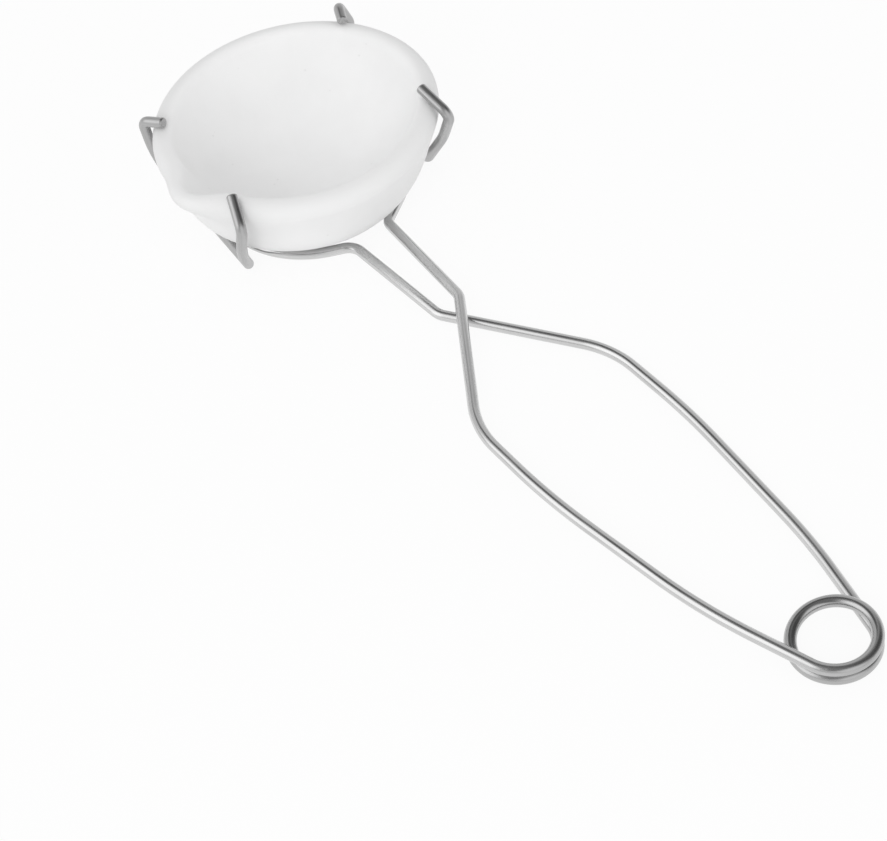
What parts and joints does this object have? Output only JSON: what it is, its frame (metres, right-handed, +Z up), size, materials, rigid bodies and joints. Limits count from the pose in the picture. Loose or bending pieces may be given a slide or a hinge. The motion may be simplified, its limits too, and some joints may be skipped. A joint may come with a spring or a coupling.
{
  "type": "crucible tongs",
  "caption": "Sprung wire tongs with crossed arms and a coil at the back, whose bowed jaws and bent claws hold a round white melting dish with a pour lip by its rim.",
  "frame": {"origin": "middle of the dish's flat base, on the surface it stands on", "axes": "+X from the spring coil to the dish along the tongs, +Y to the side of the pour lip, +Z up out of the bowl"},
  "size_m": [0.2553, 0.0803, 0.0332],
  "materials": {
    "steel": "polished wire",
    "silica": "matt to satin, unglazed"
  },
  "bodies": {
    "spring": {"spring_coil": "steel"},
    "over_jaw": {"over_arm": "steel", "over_claw_wire": "steel", "over_weld_near": "steel", "over_weld_far": "steel"},
    "under_jaw": {"under_arm": "steel", "under_claw_wire": "steel", "under_weld_near": "steel", "under_weld_far": "steel"},
    "dish": {"melting_dish": "silica"}
  },
  "joints": [
    {"name": "over_squeeze", "type": "hinge", "parent": "spring", "child": "over_jaw", "pos_m": [-0.2054, 0, 0], "axis": [0, 0, -1], "range_deg": [0, 10], "stiffness_Nm_per_rad": 4, "springref_deg": -2.86},
    {"name": "under_squeeze", "type": "hinge", "parent": "spring", "child": "under_jaw", "pos_m": [-0.2054, 0, 0], "axis": [0, 0, 1], "range_deg": [0, 10], "stiffness_Nm_per_rad": 4, "springref_deg": -2.86},
    {"name": "dish_turn", "type": "hinge", "parent": "spring", "child": "dish", "pos_m": [0, 0, 0], "axis": [0, 0, 1], "range_deg": [-29, 7]}
  ],
  "couplings": [
    {"joint": "under_squeeze", "follows": "over_squeeze", "ratio": 1}
  ]
}
